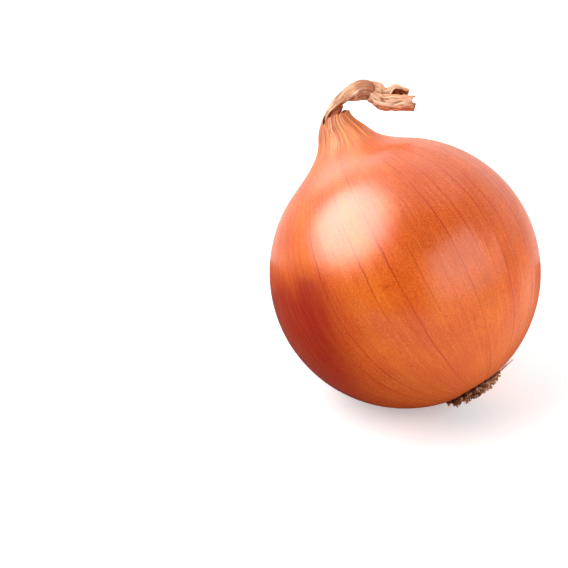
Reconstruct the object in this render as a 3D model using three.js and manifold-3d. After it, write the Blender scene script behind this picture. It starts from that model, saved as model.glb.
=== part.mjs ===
// A whole brown onion lying as it would on a table: a round bulb whose skin draws out into a short neck,
// a dried leaf tail folded over to one side, a root plate with clipped root stubs, and one shred of skin.
// Millimetres, +Z up, origin at the centre of the small flat spot that the bulb rests on.
import * as THREE from "three";
import { mergeVertices } from "three/addons/utils/BufferGeometryUtils.js";
import Module from "manifold-3d";

const wasm = await Module();
wasm.setup();

// Driving dimensions
const bulbDiameter = 80;
const restRadius = 8;
const leanSideDeg = 28.3;
const leanBackDeg = 29.5;
const gap = 0.35;

// Neck: a curve from the round of the bulb up to the dried rim, in radius and height
const neckStartDeg = 28.8;
const neckStartPull = 10.5;
const neckTop = { radius: 3.9, height: 52 };
const neckTopPull = 11.8;
const neckTopSlopeDeg = 23.4;
const neckBend = { from: 34.5, to: 45, shift: 2.75, hookFrom: 46.5, hook: 0.075 };
const rim = { height: 50.9, slant: 1.1, highDeg: 143, notchDeg: 222, notchDepth: 1.3, notchWidthDeg: 17 };
const mouth = { wall: 0.65, waistHeight: 47.4, waistRadius: 4.3, floorHeight: 44.4, floorRadius: 3.8 };

// Root end: this pole is turned a little to one side, and the skin ends in a rim round a shallow dish
const rootTurnDeg = 2.8;
const rootRimRadius = 9.3;
const rootDish = { lipRadius: 8.95, lipDepth: 0.25, floorRadius: 8.75, floorDepth: 1.75 };
const rootPlate = { radius: 8.5, proud: 2.5, sides: 24 };
const rootStub = { count: 56, length: 1.15, radius: 0.85, taper: 0.7, sides: 5, splayDeg: 60 };
const rootStubSpread = { reach: 0.95, drop: 0.42, vary: 0.25 };

// Skin relief: vein ribs run from pole to pole, and gather into pleats at the neck
const ribCount = 36;
const ribHeight = 0.12;
const pleatHeight = 0.2;
const swells = [
  { height: 0.22, lobes: 3, turn: 1.1 },
  { height: 0.13, lobes: 2, turn: 4 },
];
const rimTeeth = [
  { height: 0.16, lobes: 7, turn: 0 },
  { height: 0.1, lobes: 12, turn: 2 },
];
const columnsPerRib = 2;
const bodyRings = 24;
const neckRings = 11;

// Dried leaf and loose skin, as sheets
const leafThickness = 0.62;
const shred = { fromDeg: 14, toDeg: 20.5, rootHalfDeg: 14, tipHalfDeg: 4, thickness: 0.6, curl: 0.15 };

const bulbRadius = bulbDiameter / 2;
const centreHeight = Math.sqrt(bulbRadius ** 2 - restRadius ** 2);
const columns = ribCount * columnsPerRib;

const deg = THREE.MathUtils.degToRad;
const lerp = THREE.MathUtils.lerp;
const smoothstep = THREE.MathUtils.smoothstep;

// A seeded draw from 0 to 1, the same on every run
function makeRandom(seed) {
  let state = seed;
  return () => {
    state = (state * 1664525 + 1013904223) % 4294967296;
    return state / 4294967296;
  };
}

// Closed geometry to a solid that can be joined and cut
function toSolid(geometry) {
  const bare = geometry.clone();
  bare.deleteAttribute("normal");
  bare.deleteAttribute("uv");
  const merged = mergeVertices(bare, 1e-4);
  const vertProperties = merged.getAttribute("position").array;
  const triVerts = new Uint32Array(merged.index.array);
  return new wasm.Manifold(new wasm.Mesh({ numProp: 3, vertProperties, triVerts }));
}

function toGeometry(solid) {
  const mesh = solid.getMesh();
  const geometry = new THREE.BufferGeometry();
  geometry.setAttribute("position", new THREE.BufferAttribute(mesh.vertProperties, 3));
  geometry.setIndex(new THREE.BufferAttribute(mesh.triVerts, 1));
  geometry.computeVertexNormals();
  return geometry;
}

function geometryFrom(points, triangles) {
  const geometry = new THREE.BufferGeometry().setFromPoints(points);
  geometry.setIndex(triangles);
  return geometry;
}

// A closed skin through rings of points, with a pole at each end
function ringGeometry(firstPole, rings, lastPole) {
  const around = rings[0].length;
  const points = [firstPole, ...rings.flat(), lastPole];
  const last = points.length - 1;
  const at = (ring, column) => 1 + ring * around + (column % around);
  const triangles = [];
  for (let j = 0; j < around; j++) {
    triangles.push(0, at(0, j + 1), at(0, j));
    triangles.push(last, at(rings.length - 1, j), at(rings.length - 1, j + 1));
    for (let i = 0; i + 1 < rings.length; i++) {
      triangles.push(at(i, j), at(i, j + 1), at(i + 1, j + 1));
      triangles.push(at(i, j), at(i + 1, j + 1), at(i + 1, j));
    }
  }
  return geometryFrom(points, triangles);
}

// A thin closed sheet: a surface over u and v from 0 to 1, thickened evenly, with both faces split alike
function sheetGeometry(surface, uSteps, vSteps, thickness) {
  const step = 1e-3;
  const faces = [1, -1].map((side) => {
    const points = [];
    for (let i = 0; i <= uSteps; i++) {
      for (let j = 0; j <= vSteps; j++) {
        const u = i / uSteps;
        const v = j / vSteps;
        const alongU = surface(u + step, v).sub(surface(u - step, v));
        const alongV = surface(u, v + step).sub(surface(u, v - step));
        const normal = alongU.cross(alongV).normalize();
        points.push(surface(u, v).addScaledVector(normal, (side * thickness) / 2));
      }
    }
    return points;
  });
  const points = faces.flat();
  const under = faces[0].length;
  const at = (i, j) => i * (vSteps + 1) + j;
  const triangles = [];
  const wall = (a, b) => triangles.push(a, b + under, b, a, a + under, b + under);
  for (let i = 0; i < uSteps; i++) {
    for (let j = 0; j < vSteps; j++) {
      const corners = [at(i, j), at(i + 1, j), at(i + 1, j + 1), at(i, j + 1)];
      const [a, b, c, d] = corners;
      triangles.push(a, b, c, a, c, d);
      triangles.push(a + under, c + under, b + under, a + under, d + under, c + under);
    }
    wall(at(i, 0), at(i + 1, 0));
    wall(at(i + 1, vSteps), at(i, vSteps));
  }
  for (let j = 0; j < vSteps; j++) {
    wall(at(0, j + 1), at(0, j));
    wall(at(uSteps, j), at(uSteps, j + 1));
  }
  return geometryFrom(points, triangles);
}

// How far the neck's middle leans off the bulb's axis at a height
function neckShift(height) {
  const lean = neckBend.shift * smoothstep(height, neckBend.from, neckBend.to);
  const hook = neckBend.hook * Math.max(0, height - neckBend.hookFrom) ** 2;
  return lean + hook;
}

function sumOfWaves(waves, around) {
  return waves.reduce((sum, w) => sum + w.height * Math.sin(w.lobes * around + w.turn), 0);
}

// The bulb's slow unevenness and its ribs, as a height over the plain round shape
function skinRelief(polar, around) {
  const fade = Math.sin(polar) ** 2;
  const swell = fade * sumOfWaves(swells, around);
  const nearNeck = 1 - smoothstep(polar, 0, deg(neckStartDeg));
  const rib = lerp(ribHeight * fade, pleatHeight, nearNeck) * Math.cos(ribCount * around);
  return swell + rib;
}

// A point of the round part, from the polar angle off the neck's side of the axis
function bodyPoint(polar, around, lift = 0) {
  const distance = bulbRadius + skinRelief(polar, around) + lift;
  const level = Math.sin(polar);
  const point = new THREE.Vector3(level * Math.cos(around), level * Math.sin(around), Math.cos(polar));
  point.multiplyScalar(distance);
  const turn = smoothstep(polar, Math.PI / 2, Math.PI - Math.asin(rootRimRadius / bulbRadius));
  return point.applyAxisAngle(new THREE.Vector3(0, 1, 0), -deg(rootTurnDeg) * turn);
}

// A point of the root end in its own turned frame
function rootPoint(radius, height, around) {
  const point = new THREE.Vector3(radius * Math.cos(around), radius * Math.sin(around), height);
  return point.applyAxisAngle(new THREE.Vector3(0, 1, 0), -deg(rootTurnDeg));
}

function makeNeckCurve() {
  const start = deg(neckStartDeg);
  const slope = deg(neckTopSlopeDeg);
  const foot = new THREE.Vector2(Math.sin(start), Math.cos(start)).multiplyScalar(bulbRadius);
  const tangent = new THREE.Vector2(-Math.cos(start), Math.sin(start));
  const footHandle = foot.clone().addScaledVector(tangent, neckStartPull);
  const top = new THREE.Vector2(neckTop.radius, neckTop.height);
  const downward = new THREE.Vector2(Math.sin(slope), -Math.cos(slope));
  const topHandle = top.clone().addScaledVector(downward, neckTopPull);
  return new THREE.CubicBezierCurve(foot, footHandle, topHandle, top);
}

const neckCurve = makeNeckCurve();

// The dried rim's height round the neck: slanted, and torn down in one place
function rimHeight(around) {
  const slanted = rim.height + rim.slant * Math.cos(around - deg(rim.highDeg));
  const fromNotch = (around - deg(rim.notchDeg)) / deg(rim.notchWidthDeg);
  return slanted + sumOfWaves(rimTeeth, around) - rim.notchDepth * Math.exp(-(fromNotch ** 2));
}

// A point of the neck, from 0 at the bulb to 1 at the rim
function neckPoint(share, around) {
  const climbAtTop = 3 * neckTopPull * Math.cos(deg(neckTopSlopeDeg));
  const end = 1 - (neckTop.height - rimHeight(around)) / climbAtTop;
  const onCurve = neckCurve.getPoint(share * end);
  const radius = onCurve.x + skinRelief(deg(neckStartDeg) * (1 - share), around);
  const shift = neckShift(onCurve.y);
  return new THREE.Vector3(shift + radius * Math.cos(around), radius * Math.sin(around), onCurve.y);
}

function ring(pointAt) {
  return Array.from({ length: columns }, (_, j) => pointAt((2 * Math.PI * j) / columns));
}

function mouthRing(radius, height) {
  return ring((around) => {
    const x = neckShift(height) + radius * Math.cos(around);
    return new THREE.Vector3(x, radius * Math.sin(around), height);
  });
}

// The bulb: round body, neck, the slanted open mouth of the neck and the dish at the root end
function makeBulb(toFloor) {
  const rimPolar = Math.PI - Math.asin(rootRimRadius / bulbRadius);
  const rimBase = -Math.sqrt(bulbRadius ** 2 - rootRimRadius ** 2);
  const floorBase = rimBase + rootDish.floorDepth;
  const rings = [];
  rings.push(ring((around) => rootPoint(rootDish.floorRadius / 2, floorBase, around)));
  rings.push(ring((around) => rootPoint(rootDish.floorRadius, floorBase, around)));
  rings.push(ring((around) => rootPoint(rootDish.lipRadius, rimBase + rootDish.lipDepth, around)));
  for (let i = 0; i <= bodyRings; i++) {
    const polar = lerp(rimPolar, deg(neckStartDeg), i / bodyRings);
    rings.push(ring((around) => bodyPoint(polar, around)));
  }
  for (let i = 1; i <= neckRings; i++) {
    rings.push(ring((around) => neckPoint(i / neckRings, around)));
  }
  rings.push(
    ring((around) => {
      const edge = neckPoint(1, around);
      const middle = new THREE.Vector3(neckShift(edge.z), 0, edge.z);
      const radius = edge.distanceTo(middle);
      return edge.lerp(middle, mouth.wall / radius);
    }),
  );
  rings.push(mouthRing(mouth.waistRadius, mouth.waistHeight));
  rings.push(mouthRing(mouth.floorRadius, mouth.floorHeight));
  const dishFloor = rootPoint(0, floorBase, 0);
  const mouthFloor = new THREE.Vector3(neckShift(mouth.floorHeight), 0, mouth.floorHeight);
  const whole = toSolid(ringGeometry(dishFloor, rings, mouthFloor));

  const under = new THREE.BoxGeometry(bulbDiameter, bulbDiameter, bulbRadius);
  under.translate(0, 0, -bulbRadius / 2);
  under.applyMatrix4(toFloor);
  return toGeometry(whole.subtract(toSolid(under)));
}

// A curved strip of dried leaf: a gutter section carried along stations, each with a middle, the side that
// its back faces, a radius and the half angle that the section wraps round
function makeLeaf({ stations, along, across, wrinkle, wrinkles }) {
  const middles = new THREE.CatmullRomCurve3(stations.map((s) => new THREE.Vector3(...s.middle)));
  const backs = new THREE.CatmullRomCurve3(stations.map((s) => new THREE.Vector3(...s.back)));
  const sizes = new THREE.CatmullRomCurve3(
    stations.map((s) => new THREE.Vector3(s.radius, deg(s.wrapDeg), 0)),
  );
  const surface = (u, v) => {
    const inside = THREE.MathUtils.clamp(u, 0, 1);
    const middle = middles.getPoint(inside);
    const tangent = middles.getTangent(inside);
    const back = backs.getPoint(inside);
    back.addScaledVector(tangent, -back.dot(tangent)).normalize();
    const side = new THREE.Vector3().crossVectors(tangent, back);
    const size = sizes.getPoint(inside);
    const angle = (2 * v - 1) * size.y;
    const radius = size.x + wrinkle * Math.sin(wrinkles * angle + 3 * inside);
    middle.addScaledVector(back, radius * Math.cos(angle));
    middle.addScaledVector(side, radius * Math.sin(angle));
    return middle.addScaledVector(tangent, u - inside);
  };
  return toSolid(sheetGeometry(surface, along, across, leafThickness));
}

// The dried tail: a gutter of leaf that rises out of the neck and folds over, then a crumpled lobe behind
// and a rolled lobe with an open end in front
function makeDryTail() {
  const arch = makeLeaf({
    stations: [
      { middle: [2.75, 0, 45.3], back: [-0.8, 0.6, 0], radius: 2.3, wrapDeg: 95 },
      { middle: [3.5, 0, 48.4], back: [-0.8, 0.6, 0], radius: 2.3, wrapDeg: 95 },
      { middle: [5.3, 0, 51.6], back: [-0.8, 0.3, 0.45], radius: 2.2, wrapDeg: 105 },
      { middle: [8.2, 0, 53.2], back: [-0.3, 0.1, 1], radius: 2.1, wrapDeg: 112 },
      { middle: [12.4, -0.2, 53], back: [0.05, 0, 1], radius: 2.9, wrapDeg: 126 },
      { middle: [15.9, -0.3, 51.8], back: [0.25, 0, 1], radius: 3.3, wrapDeg: 130 },
    ],
    along: 18,
    across: 10,
    wrinkle: 0.1,
    wrinkles: 4,
  });
  const backLobe = makeLeaf({
    stations: [
      { middle: [15, 0.6, 52.1], back: [0.2, 0, 1], radius: 2.6, wrapDeg: 110 },
      { middle: [18.4, 1.2, 51], back: [0.5, 0, 1], radius: 2.3, wrapDeg: 112 },
      { middle: [21.2, 1.5, 48.7], back: [0.4, 0, 1], radius: 1.35, wrapDeg: 120 },
      { middle: [23.7, 1.7, 47.1], back: [0.4, -0.1, 1], radius: 2, wrapDeg: 130 },
      { middle: [26.2, 1.8, 45.2], back: [0.4, -0.1, 1], radius: 1.4, wrapDeg: 130 },
    ],
    along: 14,
    across: 10,
    wrinkle: 0.12,
    wrinkles: 4,
  });
  const frontRoll = makeLeaf({
    stations: [
      { middle: [15.6, -1.8, 51.1], back: [-0.6, -0.6, -0.4], radius: 1.2, wrapDeg: 130 },
      { middle: [17.9, -2.1, 47.4], back: [-0.4, -0.9, -0.6], radius: 2.2, wrapDeg: 145 },
      { middle: [20.3, -2.4, 45.8], back: [-0.3, -1, -0.6], radius: 2.2, wrapDeg: 150 },
      { middle: [23.6, -2.4, 44], back: [-0.3, -1, -0.6], radius: 2.1, wrapDeg: 155 },
      { middle: [27, -2.2, 42.2], back: [-0.3, -1, -0.6], radius: 2.2, wrapDeg: 155 },
    ],
    along: 12,
    across: 12,
    wrinkle: 0.12,
    wrinkles: 5,
  });
  return toGeometry(arch.add(backLobe).add(frontRoll));
}

// The root plate: a corky domed button with clipped root stubs set over it in a sunflower pattern
function makeRootPlate() {
  const random = makeRandom(11);
  const base = -Math.sqrt(bulbRadius ** 2 - rootRimRadius ** 2) + rootDish.floorDepth - gap;
  const domeTop = -bulbRadius - rootPlate.proud + rootStub.length;
  const profile = [
    [0, base],
    [0.97, base],
    [1, lerp(base, domeTop, 0.45)],
    [0.93, lerp(base, domeTop, 0.72)],
    [0.72, lerp(base, domeTop, 0.91)],
    [0.4, lerp(base, domeTop, 0.99)],
    [0, domeTop],
  ];
  const outline = profile.map(([share, height]) => new THREE.Vector2(share * rootPlate.radius, height));
  const button = new THREE.LatheGeometry(outline.reverse(), rootPlate.sides);
  button.rotateX(Math.PI / 2);
  let solid = toSolid(button);
  const goldenTurn = Math.PI * (3 - Math.sqrt(5));
  const down = new THREE.Vector3(0, -1, 0);
  const vary = () => 1 + rootStubSpread.vary * (2 * random() - 1);
  for (let i = 0; i < rootStub.count; i++) {
    const share = Math.sqrt((i + 0.5) / rootStub.count);
    const around = i * goldenTurn + rootStubSpread.vary * random();
    const length = rootStub.length * vary();
    const thick = rootStub.radius * vary();
    const stub = new THREE.CylinderGeometry(thick, thick * rootStub.taper, 2 * length, rootStub.sides);
    const splay = share * deg(rootStub.splayDeg) * vary();
    const out = new THREE.Vector3(
      Math.sin(splay) * Math.cos(around),
      Math.sin(splay) * Math.sin(around),
      -Math.cos(splay),
    );
    stub.applyQuaternion(new THREE.Quaternion().setFromUnitVectors(down, out));
    const spread = rootStubSpread.reach * share * rootPlate.radius;
    const height = lerp(domeTop, base, rootStubSpread.drop * share ** 4);
    stub.translate(spread * Math.cos(around), spread * Math.sin(around), height);
    solid = solid.add(toSolid(stub));
  }
  return toGeometry(solid);
}

// One pale shred of the outermost skin, lifting off the bulb beside the root plate
function makeSkinShred() {
  const clearance = gap + ribHeight;
  const surface = (u, v) => {
    const polar = Math.PI - deg(lerp(shred.fromDeg, shred.toDeg, u));
    const halfWidth = deg(lerp(shred.rootHalfDeg, shred.tipHalfDeg, u));
    const around = (2 * v - 1) * halfWidth;
    return bodyPoint(polar, around, clearance + shred.thickness / 2 + shred.curl * u * u);
  };
  return toGeometry(toSolid(sheetGeometry(surface, 6, 6, shred.thickness)));
}

function makeMaterial(color, roughness) {
  return new THREE.MeshStandardMaterial({ color, roughness, metalness: 0 });
}

function addMesh(parent, name, geometry, material) {
  const mesh = new THREE.Mesh(geometry, material);
  mesh.name = name;
  parent.add(mesh);
}

const onion = new THREE.Group();
const leaning = new THREE.Group();
leaning.rotation.set(-deg(leanBackDeg), -deg(leanSideDeg), 0);
leaning.position.z = centreHeight;
onion.add(leaning);
onion.updateMatrixWorld(true);

const rootEnd = new THREE.Group();
rootEnd.rotation.y = -deg(rootTurnDeg);
leaning.add(rootEnd);

const toFloor = leaning.matrixWorld.clone().invert();
addMesh(leaning, "bulb", makeBulb(toFloor), makeMaterial(0xd9713a, 0.35));
addMesh(leaning, "dry_tail", makeDryTail(), makeMaterial(0xd9a57c, 0.8));
addMesh(rootEnd, "root_plate", makeRootPlate(), makeMaterial(0x8a6a4c, 0.9));
addMesh(leaning, "skin_shred", makeSkinShred(), makeMaterial(0xeed2ba, 0.6));

export default onion;
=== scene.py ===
import math

import bpy
import numpy as np
from mathutils import Matrix, Vector, noise


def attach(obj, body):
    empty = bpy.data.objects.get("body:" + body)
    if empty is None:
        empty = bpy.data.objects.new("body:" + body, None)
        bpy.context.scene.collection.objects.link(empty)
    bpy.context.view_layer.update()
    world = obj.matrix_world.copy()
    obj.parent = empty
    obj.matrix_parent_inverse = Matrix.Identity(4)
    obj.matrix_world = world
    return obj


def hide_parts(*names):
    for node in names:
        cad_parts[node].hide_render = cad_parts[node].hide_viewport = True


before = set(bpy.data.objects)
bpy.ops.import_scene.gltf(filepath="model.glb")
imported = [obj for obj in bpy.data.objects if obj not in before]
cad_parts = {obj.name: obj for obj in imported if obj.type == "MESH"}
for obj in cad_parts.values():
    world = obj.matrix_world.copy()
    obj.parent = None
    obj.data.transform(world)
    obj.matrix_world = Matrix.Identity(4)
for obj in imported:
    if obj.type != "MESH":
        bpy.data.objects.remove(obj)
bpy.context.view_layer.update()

# Bulb skin. One papery brown scale, grown in one piece and drawn tight over the fleshy bulb.
# Fine veins run from the root end up to the neck, where the skin gathers into pleats and ends in a
# torn, dried rim round the open mouth of the neck.
bulb_radius = 0.040
rest_radius = 0.008
centre_height = math.sqrt(bulb_radius**2 - rest_radius**2)
lean_side = math.radians(28.3)
lean_back = math.radians(29.5)
neck_start = math.radians(28.8)
neck_start_pull = 0.0105
neck_top_radius = 0.0039
neck_top_height = 0.052
neck_top_pull = 0.0118
neck_top_slope = math.radians(23.4)
neck_bend_from = 0.0345
neck_bend_to = 0.045
neck_bend = 0.00275
neck_hook_from = 0.0465
neck_hook = 75.0
neck_spread = 1.15
rim_height = 0.0509
rim_slant = 0.0011
rim_high_side = math.radians(143)
notch_side = math.radians(222)
notch_width = math.radians(15)
notch_depth = 0.0016
skin_thickness = 0.00025
mouth_floor_height = 0.0445
mouth_floor_radius = 0.0036
mouth_swell = 0.0006
root_turn = math.radians(2.8)
root_rim_radius = 0.0093
root_dish_radius = 0.00875
root_dish_depth = 0.00175
root_dish_lip = 0.0002
root_blush = (2.1, 2.9)
body_rows = 150
neck_rows = 64
dish_rows = 4
mouth_rows = 12
fill_columns = 90
column_gap = math.radians(0.2)

# The veins. A strength is drawn between two ends, and so is a minor vein's place between its neighbours.
vein_count = 38
first_vein = math.radians(-94)
vein_shift = 0.018
vein_strength = (0.45, 0.95)
minor_strength = (0.1, 0.4)
minor_place = (0.4, 0.6)
vein_half_width = math.radians(0.55)
vein_crest = 0.55
vein_height = 0.000016
vein_at_ends = 0.35
vein_colour = 0.62
vein_fading = [(0.5, (4, 4, 2.2), 12.5)]

# Each layer of noise has its height, its scale and its seed
rim_tears = [(0.0005, 3.2, 1.7), (0.0003, 9, 8.1)]
root_rim_tears = [(math.radians(0.5), 9, 3.3)]
vein_wander = [(0.011, (5, 5, 4), 6.6), (0.004, (9, 9, 17), 1.2)]
slow_swells = [(0.00012, (2.2, 2.2, 0.9), 4.4)]
soft_streaks = [(0.000018, (11, 11, 1.4), 9.2), (0.000008, (34, 34, 3), 2.9)]
neck_pleats = [(0.00032, (5, 5, 0.35), 6.1), (0.000224, (11, 11, 0.5), 5.5), (0.000128, (24, 24, 1), 7.7)]
pleat_onset = 1.3

# Slow waves that keep the bulb from being quite round: height, how many, and where they start
round_waves = [(0.00022, 3, 1.1), (0.00013, 2, 4)]

# Dry folds down one side, between two bands of the angle from the neck
fold_height = 0.00013
fold_scale = (9, 9, 0.8)
fold_seed = 3.6
folds_middle = math.radians(-38)
folds_half_width = math.radians(17)
folds_top = (0.9, 1.4)
folds_foot = (2.0, 2.5)


def smooth(value, low, high):
    share = np.clip((value - low) / (high - low), 0, 1)
    return share * share * (3 - 2 * share)


def unit(vectors):
    return vectors / np.linalg.norm(vectors, axis=-1, keepdims=True)


def points_at(x, y, z):
    # Points from arrays or numbers that spread to one shape
    return np.stack(np.broadcast_arrays(x, y, z), axis=-1)


def angle_from(sides, middle):
    # How far round each side lies from a middle, from minus half a turn to half a turn
    return np.angle(np.exp(1j * (sides - middle)))


def noise_over(points, scale, seed):
    # Smooth noise from -1 to 1 at every point of an array whose last axis is x, y, z
    moved = points.reshape(-1, 3) * scale + seed
    values = [noise.noise(Vector(point)) for point in moved]
    return np.array(values).reshape(points.shape[:-1])


def layered(points, layers):
    return sum(height * noise_over(points, scale, seed) for height, scale, seed in layers)


lean = np.array(Matrix.Rotation(-lean_back, 3, "X") @ Matrix.Rotation(-lean_side, 3, "Y"))


def stand_up(points):
    # From the bulb's own axis, neck up, to the leaning bulb on its resting spot
    placed = points @ lean.T
    placed[..., 2] += centre_height
    return placed


def turn_to_root(points, turn):
    # The root end sits a little to one side of the axis
    cosine = np.cos(turn)
    sine = np.sin(turn)
    x = points[..., 0] * cosine - points[..., 2] * sine
    z = points[..., 0] * sine + points[..., 2] * cosine
    return points_at(x, points[..., 1], z)


def neck_shift(height):
    # The neck bends to one side and hooks over at its top
    hook = neck_hook * np.maximum(0, height - neck_hook_from) ** 2
    return neck_bend * smooth(height, neck_bend_from, neck_bend_to) + hook


def neck_profile(share):
    # Radius and height of the neck, from 0 at the round of the bulb to 1 at its highest rim
    foot = bulb_radius * np.array([math.sin(neck_start), math.cos(neck_start)])
    rising = np.array([-math.cos(neck_start), math.sin(neck_start)])
    top = np.array([neck_top_radius, neck_top_height])
    falling = np.array([math.sin(neck_top_slope), -math.cos(neck_top_slope)])
    corners = [foot, foot + neck_start_pull * rising, top + neck_top_pull * falling, top]
    share = np.asarray(share)[..., None]
    left = 1 - share
    curve = corners[0] * left**3 + 3 * corners[1] * left**2 * share
    curve = curve + 3 * corners[2] * left * share**2 + corners[3] * share**3
    return curve[..., 0], curve[..., 1]


def new_piece(name, vertices, faces):
    # The piece's place is in its mesh, and its object stays at the origin
    mesh = bpy.data.meshes.new(name)
    mesh.from_pydata([tuple(vertex) for vertex in vertices], [], faces)
    mesh.shade_smooth()
    piece = bpy.data.objects.new(name, mesh)
    bpy.context.scene.collection.objects.link(piece)
    return piece


def closed_rings(name, points, first_pole, last_pole):
    # A mesh through rows of rings, closed by a fan at each pole
    columns = points.shape[1]
    vertices = [first_pole, *points.reshape(-1, 3), last_pole]
    last = len(vertices) - 1
    last_row = last - columns
    faces = []
    for j in range(columns):
        k = (j + 1) % columns
        faces.append((0, 1 + k, 1 + j))
        faces.append((last, last_row + j, last_row + k))
        for row in range(1, last_row, columns):
            faces.append((row + j, row + k, row + columns + k, row + columns + j))
    return new_piece(name, vertices, faces)


def put_attribute(piece, name, values):
    kind = "FLOAT_VECTOR" if values.ndim == 2 else "FLOAT"
    field = "vector" if values.ndim == 2 else "value"
    attribute = piece.data.attributes.new(name, kind, "POINT")
    attribute.data.foreach_set(field, values.astype(np.float32).ravel())


# The columns: five on every main vein and three on every minor one, so that they stand up sharply, and
# even ones between. Columns that would lie too close to the one before are left out.
draw = np.random.default_rng(7)
vein_step = 2 * math.pi / vein_count
vein_sides = first_vein + vein_step * np.arange(vein_count)
vein_sides = vein_sides + draw.uniform(-vein_shift, vein_shift, vein_count)
vein_strengths = draw.uniform(*vein_strength, vein_count)
vein_strengths[0] = 1
minor_sides = vein_sides + vein_step * draw.uniform(*minor_place, vein_count)
minor_strengths = draw.uniform(*minor_strength, vein_count)
all_sides = np.concatenate([vein_sides, minor_sides])
all_strengths = np.concatenate([vein_strengths, minor_strengths])
even_sides = np.linspace(0, 2 * math.pi, fill_columns, endpoint=False)
columns_at = [even_sides, vein_sides - 2 * vein_half_width, vein_sides + 2 * vein_half_width]
columns_at += [all_sides - vein_half_width, all_sides, all_sides + vein_half_width]
around = np.sort(np.mod(np.concatenate(columns_at), 2 * math.pi))
around = around[np.concatenate([[True], np.diff(around) > column_gap])]
from_vein = angle_from(around[:, None], all_sides[None, :]) / (vein_crest * vein_half_width)
vein_at = (all_strengths * np.exp(-(from_vein**2))).max(axis=1)
circle = points_at(np.cos(around), np.sin(around), 0)

# The rows: the round body from the root rim up, then the neck to its torn rim
rim_polar = math.pi - math.asin(root_rim_radius / bulb_radius)
ragged_polar = rim_polar + layered(circle, root_rim_tears)
body_polar = ragged_polar + (neck_start - ragged_polar) * np.linspace(0, 1, body_rows)[:, None]
body_turn = root_turn * smooth(body_polar, math.pi / 2, rim_polar)
neck_share = np.linspace(0, 1, neck_rows + 1)[1:, None]
rim_at = rim_height + rim_slant * np.cos(around - rim_high_side) + layered(circle, rim_tears)
from_notch = angle_from(around, notch_side) / notch_width
rim_at = rim_at - notch_depth * np.exp(-(from_notch**2))
climb_at_top = 3 * neck_top_pull * math.cos(neck_top_slope)
neck_end = 1 - (neck_top_height - rim_at) / climb_at_top
neck_radius, neck_height = neck_profile(neck_share * neck_end)
radius = np.concatenate([bulb_radius * np.sin(body_polar), neck_radius])
height = np.concatenate([bulb_radius * np.cos(body_polar), neck_height])
turn = np.concatenate([body_turn, np.zeros_like(neck_radius)])
polar = np.concatenate([body_polar, neck_start * (1 - neck_share * np.ones_like(neck_radius))])
fade = np.sin(polar) ** 2
wander = around + fade * layered(points_at(np.cos(around), np.sin(around), polar), vein_wander)
skin = points_at(neck_shift(height) + radius * np.cos(wander), radius * np.sin(wander), height)
skin = turn_to_root(skin, turn)
steps = np.linalg.norm(np.diff(skin, axis=0), axis=-1) / bulb_radius
along = np.concatenate([np.zeros((1, len(around))), np.cumsum(steps, axis=0)])
along = along[-1] - along

# The relief: slow swells, long soft streaks, raised veins, pleats at the neck, and folds on one side
grain = points_at(np.cos(around), np.sin(around), along)
near_neck = 1 - smooth(polar, 0, neck_spread * neck_start)
relief = sum(swell * np.sin(count * around + start) for swell, count, start in round_waves)
relief = fade * (relief + layered(grain, slow_swells + soft_streaks))
relief = relief + vein_height * vein_at * (vein_at_ends + (1 - vein_at_ends) * fade + near_neck)
relief = relief + near_neck**pleat_onset * layered(grain, neck_pleats)
from_folds = angle_from(around, folds_middle) / folds_half_width
in_folds = np.exp(-(from_folds**2)) * smooth(polar, *folds_top) * (1 - smooth(polar, *folds_foot))
folds = 1 - 2 * np.abs(noise_over(grain, fold_scale, fold_seed))
relief = relief + fold_height * in_folds * folds
down_rows = np.gradient(skin, axis=0)
round_columns = np.roll(skin, -1, axis=1) - np.roll(skin, 1, axis=1)
skin = skin + unit(np.cross(round_columns, down_rows)) * relief[..., None]

# Under the rim the skin turns in, to the shadowed inside of the neck
rim_middle = points_at(neck_shift(skin[-1, :, 2]), 0, skin[-1, :, 2])
lip = skin[-1] + skin_thickness * unit(rim_middle - skin[-1])
sink = np.linspace(0, 1, mouth_rows)[:, None]
mouth_height = lip[:, 2] + (mouth_floor_height - lip[:, 2]) * sink
lip_radius = np.linalg.norm(lip - rim_middle, axis=-1)
mouth_radius = lip_radius + (mouth_floor_radius - lip_radius) * sink + mouth_swell * np.sin(math.pi * sink)
mouth_x = neck_shift(mouth_height) + mouth_radius * np.cos(around)
mouth = points_at(mouth_x, mouth_radius * np.sin(around), mouth_height)
mouth_floor = points_at(neck_shift(mouth_floor_height), 0, mouth_floor_height)
mouth_close = mouth_floor + 0.5 * (mouth[-1] - mouth_floor)

# At the root end the skin turns in to a shallow dish
root_skin = turn_to_root(skin[0], -root_turn)
dish_floor = root_dish_depth - math.sqrt(bulb_radius**2 - root_rim_radius**2)
sink = np.linspace(1, 0, dish_rows + 1)[:-1, None]
dish_height = root_skin[:, 2] + (dish_floor - root_skin[:, 2]) * sink
dish_reach = (root_dish_radius - root_dish_lip * (1 - sink)) / root_rim_radius
dish = points_at(root_skin[:, 0] * dish_reach, root_skin[:, 1] * dish_reach, dish_height)
dish_middle = np.array([0, 0, dish_floor])
dish_close = dish_middle + 0.5 * (dish[0] - dish_middle)
dish = turn_to_root(np.concatenate([dish_close[None], dish]), root_turn)
dish_middle = turn_to_root(dish_middle, root_turn)

placed = stand_up(np.concatenate([dish, skin, mouth, mouth_close[None]]))
placed[..., 2] = np.maximum(placed[..., 2], 0)
bulb_skin = closed_rings("bulb_skin", placed, stand_up(dish_middle), stand_up(mouth_floor))


def over_all_rows(on_skin, at_root, in_mouth):
    # One value for every vertex, with the pole at each end
    rows = [np.full((len(dish), len(around)), at_root), on_skin]
    rows.append(np.full((mouth_rows + 1, len(around)), in_mouth))
    values = np.concatenate(rows).ravel()
    return np.concatenate([[at_root], values, [in_mouth]])


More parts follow.
